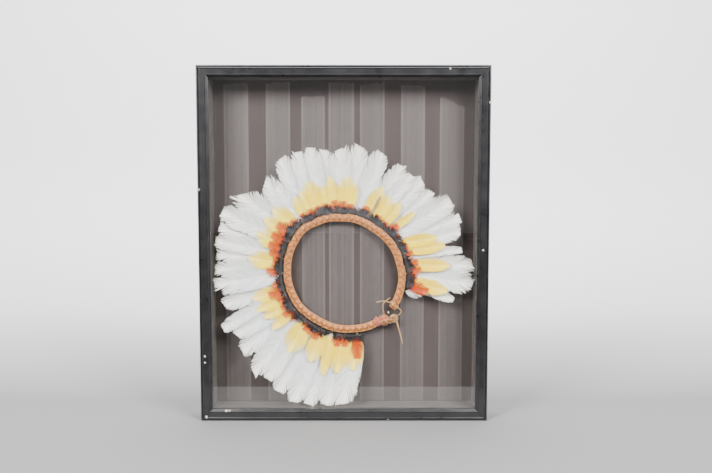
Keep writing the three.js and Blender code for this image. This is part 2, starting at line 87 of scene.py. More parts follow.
# Roots and tips are angles, a reach is a radius, and a mood picks the feather's tint.
WHITE_COLUMNS = "root tip reach width bow slant layer mood fray"
WHITE_FEATHERS = [
    (-191, -178.5, 229, 34, 0, 8, 2, .62, .3),
    (-180, -171.5, 233, 28, 0, 0, 1, .55, .2),
    (-168, -164.5, 239, 27, 3, 0, 0, .42, .2),
    (-157, -158, 242, 27, 0, 4, 1, .42, .2),
    (-147, -150.5, 238, 29, 0, 0, 0, .5, .2),
    (-139, -143.5, 229, 24, 0, 0, 2, .55, .2),
    (-132, -137, 236, 28, 0, -8, 1, .55, .3),
    (-123.5, -126.5, 226, 32, 0, -4, 0, .5, .35),
    (-117, -119, 219, 27, 0, 6, 1, .38, .35),
    (-108, -114, 233, 20, 2, 0, 2, .5, .4),
    (-102, -104, 219, 25, 0, 6, 0, .55, .5),
    (-90, -94, 227, 34, 0, 0, 2, .55, .6),
    (-83.5, -87.5, 226, 25, 0, 0, 1, .6, .7),
    (-77.5, -81, 226, 26, 0, 0, 0, .6, .7),
    (-71.5, -75, 232, 24, 0, 0, 1, .6, .5),
    (-66, -69, 233, 24, 0, 0, 0, .6, .5),
    (-60.5, -62.5, 239, 30, 0, 0, 2, .6, .4),
    (-50, -52.5, 229, 34, 0, -22, 0, .62, .5),
    (-44, -40, 214, 28, 0, 14, 1, .55, .4),
    (-40, -37, 194, 26, 0, 10, 2, .5, .3),
    (-34, -28.5, 230, 28, 0, 4, 0, .5, .3),
    (-25.5, -21, 228, 26, 0, -4, 1, .55, .3),
    (-18.5, -15, 228, 22, 0, -4, 2, .6, .3),
    (-12.5, -9.5, 220, 22, 0, -4, 0, .6, .3),
    (-4.5, -2, 219, 31, 0, 10, 1, .65, .35),
    (3, 6.5, 225, 28, 0, -6, 0, .6, .3),
    (11.5, 16.5, 221, 28, 0, -4, 1, .55, .35),
    (21, 27.5, 214, 25, 0, 4, 0, .65, .4),
    (27.5, 33.5, 208, 20, 0, 0, 2, .65, .4),
    (34.5, 39, 212, 25, 0, -6, 1, .6, .35),
    (42.5, 46, 209, 21, 0, 4, 0, .6, .3),
    (51, 55, 224, 32, 0, 0, 1, .6, .35),
    (58, 63.5, 223, 24, 0, 0, 0, .55, .35),
    (63.5, 69, 214, 24, 0, -4, 2, .55, .4),
    (75, 78, 208, 13, -2, 0, 1, .6, .3),
    (82, 85.5, 223, 26, 0, 6, 0, .6, .45),
    (91, 94, 223, 33, 0, -6, 1, .55, .45),
    (100, 103.5, 196, 14, 0, 0, 0, .6, .35),
]
ROW_COLUMNS = "root tip reach width mood"
YELLOW_FEATHERS = [
    (-190, -184.5, 172, 24, .5), (-177, -175, 176, 27, .8), (-167, -167.5, 184, 14, .9),
    (-158, -158, 168, 24, .4), (-141, -144, 171, 30, .4), (-126, -127, 162, 14, .4),
    (-119, -118.5, 163, 15, .5), (-112, -112.5, 169, 15, .4), (-105, -105, 168, 19, .3),
    (-80, -80.5, 171, 25, .4), (-64.5, -64.5, 170, 28, .4), (-55.5, -55, 172, 17, .3),
    (-45.5, -47.5, 170, 23, .35), (-35, -33, 162, 16, .3), (-29.5, -28, 166, 10, .3),
    (-22, -21.5, 174, 27, .8), (-14, -14, 158, 14, .6), (-9, -9, 174, 14, .5),
    (1.5, 1.5, 170, 30, .5), (20, 23.5, 166, 21, .45), (30, 30, 156, 18, .6),
    (38, 37.5, 158, 17, .6), (46.5, 48.5, 164, 11, .6), (61, 68, 173, 17, .85),
    (69, 73.5, 182, 18, .85), (82.5, 85, 184, 18, .8), (97, 99.5, 182, 20, .85),
]
ORANGE_FEATHERS = [
    (-190.5, -188, 153, 16, .9), (-179.5, -179.5, 131, 16, .6), (-173.5, -173, 131, 15, .9),
    (-155, -154.5, 130, 18, .5), (-149.5, -149.5, 127, 14, .3), (-144, -144, 126, 16, .5),
    (-131.5, -131, 126, 13, .5), (-124, -124.5, 133, 17, .5), (-118.5, -118.5, 130, 12, .4),
    (-113, -112.5, 130, 14, .5), (-106, -106, 141, 19, .5), (-99, -99, 130, 14, .5),
    (-88, -88, 139, 17, .6), (-80, -80, 130, 17, .5), (-74, -74, 139, 13, .6),
    (-68.5, -68.5, 145, 15, .5), (-61, -61.5, 147, 17, .6), (-53.5, -53.5, 148, 18, .5),
    (-45.5, -46, 134, 17, .4), (-36, -36, 131, 17, .4), (-29.5, -29, 130, 14, .3),
    (-23, -23, 129, 15, .3), (-16.5, -16, 129, 15, .3), (-8.5, -8.5, 131, 18, .3),
    (-1.5, -1.5, 128, 16, .3), (4.5, 4.5, 123, 14, .3), (17.5, 17.5, 125, 18, .5),
    (30, 30, 119, 17, .5), (38.5, 38.5, 117, 15, .6), (47, 47, 127, 14, .9),
    (54.5, 54.5, 118, 14, .6), (66, 66, 121, 16, .6), (72.5, 72, 125, 13, .6),
    (81, 81, 130, 14, .6), (87, 87, 135, 16, .6), (94, 94, 128, 13, .7),
    (101, 102, 150, 17, .9),
]
ROW_SPANS = [("lower", -195, -171.5), ("main", -161, 104)]
BLACK_ROW = {"every": 5.0, "width": 20.0, "length": 16.5, "shorter": 4.5, "swept": 4.0}
BINDING = {"start": 2.4, "width": 5.0, "cord": .55}
BROWN_FEATHER = (24, 24.5, 151, 5, .5)
DOWN_TUFT = (107, 107, 140, 14, .5)

SPLINT = {"wide": 2.7, "thick": .45, "sunk": .55}
THREAD = {"start": -223.5, "end": -211.5, "thickness": 2.4, "turns": 22, "girth": .62}
CROSSING_THREADS = [(-223, -214), (-219, -212.5), (-216, -221.5)]
TURNS = [(-222.6, -220.8), (-219.6, -217.9), (-216.6, -215.0)]
HITCH = (121.5, 124.5)
STRING_GIRTH = 1.7
KNOT = {"x": 88.0, "z": 174.0, "radius": 8.5, "deep": 6.5, "turns": 7, "drawn_in": .82}
STRANDS = [                         # girth, how far in front of the ring's middle, spots
    (1.7, 7.0, [(57, 204), (71, 206), (88, 201)]),
    (1.6, 7.5, [(71.5, 177), (69, 200), (81, 212)]),
    (1.9, 9.5, [(61, 167), (71, 171.5), (88, 174)]),
    (1.6, 7.0, [(90, 176), (101, 187), (92, 197)]),
    (3.0, 5.0, [(91, 176), (98, 152), (104, 128)]),
]


BARBS, QUILL, TIE = 0, 1, 2         # where each material stands in a feather piece
PLAIN_LOOK = np.array([.5, 0, .5, .5])
SEEDS = {"yellow": 100, "orange": 200, "black": 300, "small": 400, "ring": 500,
         "thread": 600, "string": 700, "strips": 800}


def random_for(settings, seed):
    return np.random.default_rng(settings.seed + seed)


def named(columns, values):
    return dict(zip(columns.split(), values))


def ring_radius(angle):
    """The radius of the ring's middle at an angle, eased from bend to bend."""
    angle = np.asarray(angle, float)
    at, radius = RING_BENDS[:, 0], RING_BENDS[:, 1]
    after = np.clip(np.searchsorted(at, angle), 1, len(at) - 1)
    share = np.clip((angle - at[after - 1]) / (at[after] - at[after - 1]), 0, 1)
    share = share * share * (3 - 2 * share)
    return radius[after - 1] + (radius[after] - radius[after - 1]) * share


def ring_outer(angle):
    return ring_radius(angle) + RING["across"] / 2


def chart(angle, radius):
    """x and z of a spot on the headdress, from its angle and its distance from the middle."""
    turn = np.radians(angle)
    return np.stack([RING["x"] + radius * np.sin(turn), RING["z"] + radius * np.cos(turn)], -1)


def forward(across_points):
    """How far the fan has bent towards the glass at these x and z."""
    away = np.hypot(across_points[..., 0] - RING["x"], across_points[..., 1] - RING["z"])
    share = np.clip((away - FAN["start"]) / (FAN["end"] - FAN["start"]), 0, None)
    return FAN["forward"] * share ** FAN["power"]


# ---------------------------------------------------------------- joined meshes

class Gathered:
    """Many small strips and tubes gathered into one mesh.

    Each point has a look: a shade of its own, how far across and along the feather it is, and
    the feather's mood. Each face has the number of its material.
    """

    def __init__(self):
        self.points, self.faces, self.looks, self.finishes = [], [], [], []
        self.count = 0

    def take(self, points, faces, looks, finish):
        self.points.append(points.reshape(-1, 3))
        self.looks.append(looks.reshape(-1, 4))
        self.faces.append(faces + self.count)
        self.finishes.append(np.full(len(faces), finish))
        self.count += points.size // 3

    def ribbons(self, middle, half, looks, finish=0):
        """Flat strips: middle and half are (strip, station, 3), looks is (strip, station, 4)."""
        strips, stations = middle.shape[:2]
        points = np.stack([middle - half, middle + half], 2)
        looks = np.repeat(looks[:, :, None, :], 2, 2)
        first = (np.arange(strips)[:, None] * stations + np.arange(stations - 1)) * 2
        faces = np.stack([first, first + 1, first + 3, first + 2], -1).reshape(-1, 4)
        self.take(points, faces, looks, finish)

    def skin(self, rows, looks, finish=0, closed=False):
        """A tube through rows of points, (station, side, 3), with shut ends unless closed."""
        stations, sides = rows.shape[:2]
        count = stations if closed else stations - 1
        row, side = np.meshgrid(np.arange(count), np.arange(sides), indexing="ij")
        after, beside = (row + 1) % stations, (side + 1) % sides
        faces = np.stack([row * sides + side, row * sides + beside,
                          after * sides + beside, after * sides + side], -1).reshape(-1, 4)
        if not closed:
            last = (stations - 1) * sides
            caps = [[0, k + 2, k + 1, k] for k in range(1, sides - 2, 2)]
            caps += [[last, last + k, last + k + 1, last + k + 2]
                     for k in range(1, sides - 2, 2)]
            faces = np.concatenate([faces, np.array(caps)])
        self.take(rows, faces, np.array(np.broadcast_to(looks, (stations, sides, 4))), finish)

    def tube(self, path, radii, sides=6, looks=None, finish=0, closed=False, flat=1.0):
        """A round tube along a path, with an even number of sides; flat squeezes it."""
        path = np.asarray(path, float)
        radii = np.broadcast_to(np.asarray(radii, float), len(path))
        if closed:
            ahead = np.roll(path, -1, 0) - np.roll(path, 1, 0)
        else:
            ahead = np.gradient(path, axis=0)
        ahead /= np.linalg.norm(ahead, axis=1)[:, None] + 1e-12
        aside = np.cross(ahead, (0.0, 1.0, 0.0))
        weak = np.linalg.norm(aside, axis=1) < 0.2
        aside[weak] = np.cross(ahead[weak], (0.31, 0.0, 0.95))
        aside /= np.linalg.norm(aside, axis=1)[:, None]
        for k in range(1, len(path)):
            if aside[k] @ aside[k - 1] < 0:
                aside[k] *= -1
        up = np.cross(aside, ahead)
        turn = np.arange(sides) / sides * 2 * np.pi
        ring = (aside[:, None] * np.cos(turn)[:, None] +
                up[:, None] * np.sin(turn)[:, None] * flat)
        looks = PLAIN_LOOK if looks is None else looks[:, None, :]
        self.skin(path[:, None] + ring * radii[:, None, None], looks, finish, closed)

    def piece(self, name, materials, slot, *nodes):
        """The gathered mesh as a piece of the object that stands for the CAD nodes named."""
        mesh = bpy.data.meshes.new(name)
        points = np.concatenate(self.points) * MM
        faces = np.concatenate(self.faces)
        mesh.vertices.add(len(points))
        mesh.vertices.foreach_set("co", points.ravel())
        mesh.loops.add(faces.size)
        mesh.loops.foreach_set("vertex_index", faces.ravel())
        mesh.polygons.add(len(faces))
        mesh.polygons.foreach_set("loop_start", np.arange(0, faces.size, 4))
        mesh.update(calc_edges=True)
        mesh.polygons.foreach_set("material_index", np.concatenate(self.finishes))
        mesh.polygons.foreach_set("use_smooth", np.ones(len(faces), bool))
        look = mesh.attributes.new("look", "FLOAT_COLOR", "POINT")
        look.data.foreach_set("color", np.concatenate(self.looks).astype(np.float32).ravel())
        mesh.validate()
        piece = bpy.data.objects.new(name, mesh)
        bpy.context.scene.collection.objects.link(piece)
        for material in materials:
            mesh.materials.append(FINISHES[material])
        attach(piece, "root")
        if nodes:
            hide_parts(*nodes)


# ---------------------------------------------------------------- feathers

class Feather:
    """One feather on the chart: its shaft's line, its vane's outline and its place in depth."""

    def __init__(self, row, outline, back, start=2.0, lift=0.45):
        self.row, self.back, self.lift = row, back, lift
        root = row["root"]
        self.foot = chart(root, float(ring_outer(root)) + start)
        self.chord = chart(row["tip"], row["reach"]) - self.foot
        self.length = float(np.hypot(*self.chord))
        self.ahead = self.chord / self.length
        self.aside = np.array([self.ahead[1], -self.ahead[0]])
        along, share = np.array(outline, float).T
        fine = np.linspace(0, 1, 81)
        smooth = np.convolve(np.pad(np.interp(fine, along, share), 5, "edge"),
                             np.ones(11) / 11, "valid")
        smooth[-5:] = np.interp(fine[-5:], along, share) * .5 + smooth[-5:] * .5
        self.outline = (fine, smooth)

    def half(self, along):
        return self.row["width"] / 2 * np.interp(along, *self.outline)

    def place(self, along, sideways, proud=0.0):
        """Points at these shares of the length and distances to the side, in millimetres."""
        along, sideways = np.broadcast_arrays(np.asarray(along, float), sideways)
        bend = self.row.get("bow", 0) * 4 * along * (1 - along)
        half = np.maximum(self.half(np.clip(along, 0, 1)), 1e-6)
        skew = self.row.get("slant", 0) / 2 * np.clip(along, 0, 1) ** 4 * sideways / half
        flat = (self.foot + self.chord * along[..., None] +
                self.aside * (sideways + bend)[..., None] + self.ahead * skew[..., None])
        depth = self.back - forward(flat) - self.lift - proud
        return np.stack([flat[..., 0], depth, flat[..., 1]], -1)


VANE_END = .972                     # share of the shaft where the last barbs leave it
BARB_TILT, TILT_SPREAD = 16, 8      # how far a barb is turned out of the vane


def grow_vane(gathered, feather, rng, spacing=.62, angle=36.0, pull=.25, fray=.3, bare=.03,
              splits=(), camber=.5, stations=6, fluff=0.0):
    """Barbs on both sides of a feather's shaft: clumped, split and frayed."""
    length, mood = feather.length, feather.row["mood"]
    count = max(8, int(length / spacing))
    for side in (-1, 1):
        # Barbs in one clump lean towards its middle.
        root = (np.arange(count) + .5) / count
        edges = np.cumsum(rng.uniform(1.1, 4.6, int(length))) / length
        clump = np.searchsorted(edges, root)
        middle = np.append(0, edges)[clump] * .5 + edges[clump] * .5
        own = rng.random(len(edges) + 1)[clump]
        loose = pull * (.5 + own) + fray * np.clip(root * 1.6 - .5, 0, 1) * own
        aim = root + (middle - root) * np.clip(loose, 0, .92)
        start = bare + (VANE_END - bare) * root
        aimed = bare + (VANE_END - bare) * aim
        edge = aimed + feather.half(aimed) / length / math.tan(math.radians(angle))
        # Barbs that would pass the tip close in on it instead.
        over = np.argmax(edge >= 1) if (edge >= 1).any() else count - 1
        turned = np.clip((aim - aim[over]) / max(1e-6, 1 - aim[over]), 0, 1)
        out = feather.half(np.clip(edge, 0, 1)) * np.where(edge >= 1, (1 - turned) ** .75, 1)
        edge = np.minimum(edge, 1)
        reach = 1 - rng.random(count) * .07 - fray * .5 * own ** 3 * (root > .35)
        reach += fray * .14 * rng.random(count)
        share = np.linspace(0, 1, stations)[None, :] * reach[:, None]
        along = start[:, None] + (edge - start)[:, None] * share ** 1.3
        for split_side, at, gap in splits:
            if split_side == side:
                off = root - at
                along += (np.sign(off) * gap / 2 / length * np.exp(-np.abs(off) / .05)
                          )[:, None] * share ** 1.4
        sideways = side * out[:, None] * share
        wander = rng.normal(0, .16, count) + (own - .5) * .5
        proud = camber * (1 - (1.3 * share - .5) ** 2) + wander[:, None] * share
        if fluff:
            along += rng.normal(0, fluff, count)[:, None] * share ** 2
            sideways *= 1 + rng.normal(0, fluff * 3, count)[:, None] * share
        line = feather.place(along, sideways, proud)
        # Each barb is a flat strip, turned a little out of the vane.
        run = np.gradient(line, axis=1)
        run /= np.linalg.norm(run, axis=2)[..., None] + 1e-9
        across = np.cross(run, (0.0, 1.0, 0.0))
        across /= np.linalg.norm(across, axis=2)[..., None] + 1e-9
        tilt = np.radians(BARB_TILT + TILT_SPREAD * (own - .5))[:, None, None] * side
        across = across * np.cos(tilt) + np.array([0, 1.0, 0]) * np.sin(tilt)
        girth = spacing * .46 * (1.06 - .55 * share ** 2)
        shade = np.clip(own * .6 + rng.random(count) * .4, 0, 1)
        looks = np.stack([np.broadcast_to(shade[:, None], share.shape), share, along,
                          np.full(share.shape, mood)], -1)
        gathered.ribbons(line, across * girth[..., None], looks)


def grow_shaft(gathered, feather, thick=.8, thin=.2, proud=.5, begin=-.015, finish=QUILL):
    """A feather's shaft, which thins towards the tip and stops short of it."""
    along = np.linspace(begin, .965, 12)
    path = feather.place(along, 0.0, proud)
    girth = thick + (thin - thick) * np.linspace(0, 1, 12) ** .8
    looks = np.stack([np.full(12, .5), np.zeros(12), along, np.full(12, .5)], -1)
    gathered.tube(path, girth, looks=looks, finish=finish, flat=.8)


def grow_binding(gathered, start, end, back):
    """The cords that a row of feathers is tied to, laid just outside the ring."""
    angle = np.linspace(start, end, int(abs(end - start) / 3) + 2)
    for place in (.3, .7):
        flat = chart(angle, ring_outer(angle) + BINDING["start"] + place * BINDING["width"])
        path = np.stack([flat[:, 0], np.full(len(flat), back - .5) - forward(flat),
                         flat[:, 1]], -1)
        gathered.tube(path, BINDING["cord"], finish=TIE)


def white_feathers(settings):
    for place, values in enumerate(WHITE_FEATHERS):
        row = named(WHITE_COLUMNS, values)
        row["width"] *= SPREAD["white"]
        rng = random_for(settings, place)
        feather = Feather(row, LONG_VANE, LAYER["white"][row["layer"]])
        gathered = Gathered()
        splits = [(side, rng.uniform(.35, .9), rng.uniform(.8, 3.2)) for side in (-1, 1)
                  for _ in range(1 + int(row["fray"] * 5))]
        grow_vane(gathered, feather, rng, settings.barb_spacing / MM, fray=row["fray"],
                  splits=splits, stations=7)
        grow_shaft(gathered, feather)
        name = f"white_feather_{place + 1:02d}"
        gathered.piece(f"{name}.vane", ["white_barbs", "pale_quill"], "white_feather", name)


def row_of_feathers(name, charted, outline, kind, span, settings, seed,
                    start=BINDING["start"] + BINDING["width"] / 2, **style):
    """A tied row of feathers as one piece; style goes on to their vanes."""
    gathered = Gathered()
    rng = random_for(settings, seed)
    back = LAYER[kind]
    for place, row in enumerate(charted):
        row["width"] *= SPREAD[kind]
        feather = Feather(row, outline, back, start, lift=.3 + .14 * (place % 3))
        grow_vane(gathered, feather, rng, camber=.25, **style)
        grow_shaft(gathered, feather, thick=.4, thin=.1, proud=.3, begin=0,
                   finish=QUILL if kind == "yellow" else BARBS)
    grow_binding(gathered, *span, back)
    gathered.piece(f"{name}.vanes", [f"{kind}_barbs", "pale_quill", "dark_thread"],
                   f"{kind}_feather", name)


def yellow_feathers(settings):
    rows = [named(ROW_COLUMNS, values) for values in YELLOW_FEATHERS]
    row_of_feathers("yellow_feather_row", rows, ROUND_VANE, "yellow",
                    (rows[0]["root"] - 3, rows[-1]["root"] + 4), settings,
                    SEEDS["yellow"], spacing=.62, fray=.22, pull=.2, angle=42)


def orange_feathers(settings):
    for number, (span, start, end) in enumerate(ROW_SPANS):
        rows = [named(ROW_COLUMNS, values) for values in ORANGE_FEATHERS
                if start < values[0] < end]
        row_of_feathers(f"orange_feather_row_{span}", rows, SHORT_VANE, "orange",
                        (start, end), settings, SEEDS["orange"] + number, spacing=.5,
                        fray=.3, pull=.3, angle=52, stations=5)


def black_feathers(settings):
    for number, (span, start, end) in enumerate(ROW_SPANS):
        count = round((end - start) / BLACK_ROW["every"])
        rows = []
        for place in range(count):
            root = start + (end - start) * (place + .5) / count
            reach = BLACK_ROW["length"] - BLACK_ROW["shorter"] * math.sin(place * 2.7) ** 2
            # The mood picks each black feather's painted sheen, teal or purple.
            rows.append({"root": root, "width": BLACK_ROW["width"], "mood": (place * .37) % 1,
                         "tip": root + BLACK_ROW["swept"] * math.sin(place * 1.9),
                         "reach": float(ring_outer(root)) + reach})
        row_of_feathers(f"black_feather_row_{span}", rows, SHORT_VANE, "black",
                        (start, end), settings, SEEDS["black"] + number, start=.3,
                        spacing=.3, fray=.5, pull=.5, angle=64, stations=5, bare=0)


def small_feathers(settings):
    rng = random_for(settings, SEEDS["small"])
    gathered = Gathered()
    feather = Feather(named(ROW_COLUMNS, BROWN_FEATHER), ROUND_VANE, LAYER["orange"], 12)
    grow_vane(gathered, feather, rng, spacing=.6, fray=.1)
    grow_shaft(gathered, feather, thick=.4, thin=.12)
    gathered.piece("brown_feather.vane", ["brown_barbs", "pale_quill"], "brown_feather",
                   "brown_feather")
    gathered = Gathered()
    feather = Feather(named(ROW_COLUMNS, DOWN_TUFT), ROUND_VANE, LAYER["white"][1])
    grow_vane(gathered, feather, rng, spacing=.5, angle=28, fray=.8, pull=.6, fluff=.03)
    grow_shaft(gathered, feather, thick=.4, thin=.1)
    gathered.piece("down_tuft.vane", ["white_barbs", "pale_quill"], "white_feather",
                   "down_tuft")


# ---------------------------------------------------------------- strips on the board

BOARD_STRIPS = [                    # left edge, right edge, and the height of each top corner
    (-211, -168, 586, 588), (-137, -94.5, 588, 592), (-75, -34, 565, 566),
    (-27, 17.5, 590, 589), (28, 71, 585, 590), (100, 142, 586, 583), (168.5, 211, 566, 547)]
STRIP_FOOT, STRIP_PARTS = 22.0, 12


def board_strips(settings):
    """Faint bands of worn facing that run down the cloth, each with a ragged top."""
    gathered = Gathered()
    rng = random_for(settings, SEEDS["strips"])
    for left, right, top_left, top_right in BOARD_STRIPS:
        share = (np.arange(STRIP_PARTS) + .5) / STRIP_PARTS
        x = left + (right - left) * share
        top = top_left + (top_right - top_left) * share + rng.uniform(-2.5, 1, STRIP_PARTS)
        depth = np.full(STRIP_PARTS, BOARD_FRONT - .2)
        middle = np.stack([np.stack([x, depth, np.full(STRIP_PARTS, STRIP_FOOT)], -1),
                           np.stack([x, depth, top], -1)], 1)
        half = np.zeros((STRIP_PARTS, 2, 3))
        half[..., 0] = (right - left) / STRIP_PARTS / 2
        looks = np.full((STRIP_PARTS, 2, 4), .5)
        looks[..., 0] = np.where((share < .08) | (share > .92), 1, rng.random(STRIP_PARTS) * .5
                                 )[:, None]
        gathered.ribbons(middle, half, looks)
    gathered.piece("back_board.strips", ["worn_facing"], "board")


# ---------------------------------------------------------------- ring and ties

def on_ring(angle, turn, larger=0.0):
    """Points on the ring's oval skin, at angles along it and turns round its section."""
    out = np.cos(turn) * (RING["across"] / 2 + larger)
    back = np.sin(turn) * (RING["deep"] / 2 + larger)
    flat = chart(angle, ring_radius(angle) + out)
    return np.stack(np.broadcast_arrays(flat[..., 0], RING_Y + back, flat[..., 1]), -1)


def splint(gathered, angle, turn, shade):
    """A flat splint laid along a winding path on the ring's skin."""
    wide, thick, larger = SPLINT["wide"], SPLINT["thick"], -SPLINT["sunk"]
    middle = on_ring(angle, turn, larger)
    outward = on_ring(angle, turn, larger + 1) - on_ring(angle, turn, larger - 1)
    outward /= np.linalg.norm(outward, axis=1)[:, None]
    ahead = np.gradient(middle, axis=0)
    ahead /= np.linalg.norm(ahead, axis=1)[:, None]
    aside = np.cross(ahead, outward)
    corners = [(-.5, 0), (-.28, 1), (.28, 1), (.5, 0)]
    rows = np.stack([middle + aside * wide * a + outward * thick * b for a, b in corners], 1)
    looks = np.zeros((len(angle), 4, 4))
    looks[..., 0] = shade
    looks[..., 1] = np.array([0, .5, .5, 1])
    looks[..., 2] = np.linspace(0, 1, len(angle))[:, None]
    looks[..., 3] = .5
    gathered.skin(rows, looks, finish=1)


def head_ring(settings):
    """The cane core, a rod along each side of its front, and four splints wound over them."""
    first, last = RING_BENDS[0, 0], RING_BENDS[-1, 0]
    gathered = Gathered()
    rng = random_for(settings, SEEDS["ring"])
    stations, sides = 190, 20
    angle = np.linspace(first, last, stations)
    turn = np.arange(sides) / sides * 2 * np.pi
    gathered.skin(on_ring(angle[:, None], turn[None, :], -1.0), PLAIN_LOOK)
    for turned, girth in ((-.45, 1.5), (-2.75, 1.2)):
        place = np.full(stations, turned) + rng.normal(0, .02, stations)
        gathered.tube(on_ring(angle, place, -.6), girth, 8)
    arc = np.radians(angle - first) * np.mean(RING_BENDS[:, 1])
    steps = np.linspace(0, arc[-1], 1150)
    path_angle = np.interp(steps, arc, angle)
    for way, phase, shade in ((1, 0, .3), (1, .5, .6), (-1, .2, .8), (-1, .7, .45)):
        wobble = np.interp(steps, np.linspace(0, arc[-1], 60), rng.normal(0, .12, 60))
        winding = way * (steps * MM / settings.winding_pitch + phase) * 2 * np.pi + wobble
        splint(gathered, path_angle, winding, shade)
    gathered.piece("head_ring.wound", ["split_cane", "brown_binding"], "cane", "head_ring")


def loop_round(angle, larger, lean, phase, points=26):
    """One turn round the ring, leaning a little along it."""
    turn = np.linspace(0, 2 * np.pi, points, endpoint=False)
    return on_ring(angle + lean * np.sin(turn + phase), turn, larger)


def thread_wrap(settings):
    """Close turns of thread round the ring's end, with a few threads laid across them."""
    gathered = Gathered()
    rng = random_for(settings, SEEDS["thread"])
    turns = THREAD["turns"]
    for place in range(turns):
        angle = THREAD["start"] + (THREAD["end"] - THREAD["start"]) * (place + .5) / turns
        path = loop_round(angle, 1.0 + rng.uniform(-.15, .35), rng.normal(0, .16),
                          rng.uniform(0, 6.3))
        looks = np.tile([rng.random(), .5, place / turns, .5], (len(path), 1))
        gathered.tube(path, THREAD["girth"], looks=looks, closed=True)
    for start, end in CROSSING_THREADS:
        turn = np.linspace(-2.9, .1, 14) + rng.uniform(-.2, .2)
        path = on_ring(np.linspace(start, end, 14), turn, 1.75)
        looks = np.tile([rng.random(), .5, .5, .5], (14, 1))
        gathered.tube(path, .55, looks=looks)
    gathered.piece("thread_wrap.turns", ["red_thread"], "thread", "thread_wrap")


def twisted(gathered, path, girth, rng, lay=4.2):
    """Two plies laid round each other along a path."""
    path = np.asarray(path, float)
    ahead = np.gradient(path, axis=0)
    arc = np.append(0, np.cumsum(np.linalg.norm(np.diff(path, axis=0), axis=1)))
    ahead /= np.linalg.norm(ahead, axis=1)[:, None] + 1e-9
    aside = np.cross(ahead, (.3, .8, .52))
    aside /= np.linalg.norm(aside, axis=1)[:, None]
    up = np.cross(aside, ahead)
    for ply in (0, math.pi):
        turn = arc / lay * 2 * np.pi + ply
        line = path + (aside * np.cos(turn)[:, None] + up * np.sin(turn)[:, None]) * girth * .24
        looks = np.tile([rng.random(), .5, .5, .5], (len(path), 1))
        gathered.tube(line, girth * .29, looks=looks)


def eased(spots, points=40):
    """A smooth line through a few spots."""
    spots = np.asarray(spots, float)
    padded = np.vstack([2 * spots[0] - spots[1], spots, 2 * spots[-1] - spots[-2]])
    line = []
    for k in range(len(spots) - 1):
        a, b, c, d = padded[k:k + 4]
        for t in np.linspace(0, 1, points // (len(spots) - 1), endpoint=False):
            line.append(.5 * (2 * b + (c - a) * t + (2 * a - 5 * b + 4 * c - d) * t * t +
                              (3 * b - a - 3 * c + d) * t ** 3))
    return np.array(line + [spots[-1]])


def string_lashing(settings):
    """Turns over the thread and at the ring's other end, the knot, and the strands between."""
    gathered = Gathered()
    rng = random_for(settings, SEEDS["string"])
    lift = THREAD["thickness"] + .4 + STRING_GIRTH / 2
    for start, end in TURNS:
        path = loop_round((start + end) / 2, lift, 1.3, rng.uniform(0, 6), 60)
        twisted(gathered, np.vstack([path, path[:1]]), STRING_GIRTH, rng)
    for angle in (HITCH[0] + .8, HITCH[1] - .8):
        path = loop_round(angle, 1.5, .5, rng.uniform(0, 6), 60)
        twisted(gathered, np.vstack([path, path[:1]]), STRING_GIRTH, rng)
    centre = np.array([KNOT["x"], RING_Y - 2, KNOT["z"]])
    for _ in range(KNOT["turns"]):
        lean = rng.normal(size=(2, 3))
        lean[0] /= np.linalg.norm(lean[0])
        lean[1] -= lean[0] * (lean[0] @ lean[1])
        lean[1] /= np.linalg.norm(lean[1])
        turn = np.linspace(0, 2 * np.pi, 50)
        path = np.cos(turn)[:, None] * lean[0] + np.sin(turn)[:, None] * lean[1]
        path *= np.array([KNOT["radius"], KNOT["deep"], KNOT["radius"]]) * KNOT["drawn_in"]
        twisted(gathered, centre + path, STRING_GIRTH * 1.1, rng)
    for girth, front, spots in STRANDS:
        path = eased([(x, RING_Y - front, z) for x, z in spots])
        if girth < 2.5:
            twisted(gathered, path, girth, rng)
        else:                       # the flat end that hangs below the knot
            taper = np.linspace(1.6, .5, len(path))
            gathered.tube(path, taper, 8, np.tile([.9, .5, .5, .9], (len(path), 1)), flat=.4)
    gathered.piece("string_lashing.turns", ["tan_string"], "string", "string_lashing")


# ---------------------------------------------------------------- materials

FINISHES = {}
PAINT_CHIPS = [                     # spots where the moulding's paint is chipped, and how large
    ((180, -31, 607), 3.6), ((248, -29, 551), 3.4), ((-246, -29, 404), 4.2),
    ((-241, -29, 115), 3.6), ((-241, -29, 104), 3.4), ((-240, -29, 8), 4.4),
    ((-205, -30, 19), 4.2), ((-199, -30, 19), 3.6), ((239, -29, 300), 3.4), ((77, -30, 3), 3.6)]


def wire(tree, kind, inputs=None, **settings):
    """A node with its settings, its inputs set to a value or linked from a socket."""
    node = tree.nodes.new(kind)
    for key, value in settings.items():
        setattr(node, key, value)
    for key, value in (inputs or {}).items():
        if isinstance(value, bpy.types.NodeSocket):
            tree.links.new(value, node.inputs[key])
        else:
            node.inputs[key].default_value = value
    return node


def mixed(tree, share, first, second, blend="MIX"):
    """Two colours mixed, each one a socket or three numbers."""
    first, second = (colour if isinstance(colour, bpy.types.NodeSocket) else (*colour, 1.0)
                     for colour in (first, second))
    node = wire(tree, "ShaderNodeMix", {0: share, 6: first, 7: second}, data_type="RGBA",
                blend_type=blend)
    return node.outputs[2]


def worked_out(tree, operation, first, second):
    return wire(tree, "ShaderNodeMath", {0: first, 1: second}, operation=operation).outputs[0]


def remapped(tree, value, low, high, to_low=0.0, to_high=1.0):
    return wire(tree, "ShaderNodeMapRange", {0: value, 1: low, 2: high, 3: to_low,
                                             4: to_high}).outputs[0]


def new_group(name, inputs, outputs):
    group = bpy.data.node_groups.new(name, "ShaderNodeTree")
    for label, kind, default in inputs:
        socket = group.interface.new_socket(label, in_out="INPUT", socket_type=kind)
        socket.default_value = default
    for label, kind in outputs:
        group.interface.new_socket(label, in_out="OUTPUT", socket_type=kind)
    given = group.nodes.new("NodeGroupInput")
    result = group.nodes.new("NodeGroupOutput")
    return group, given.outputs, result.inputs


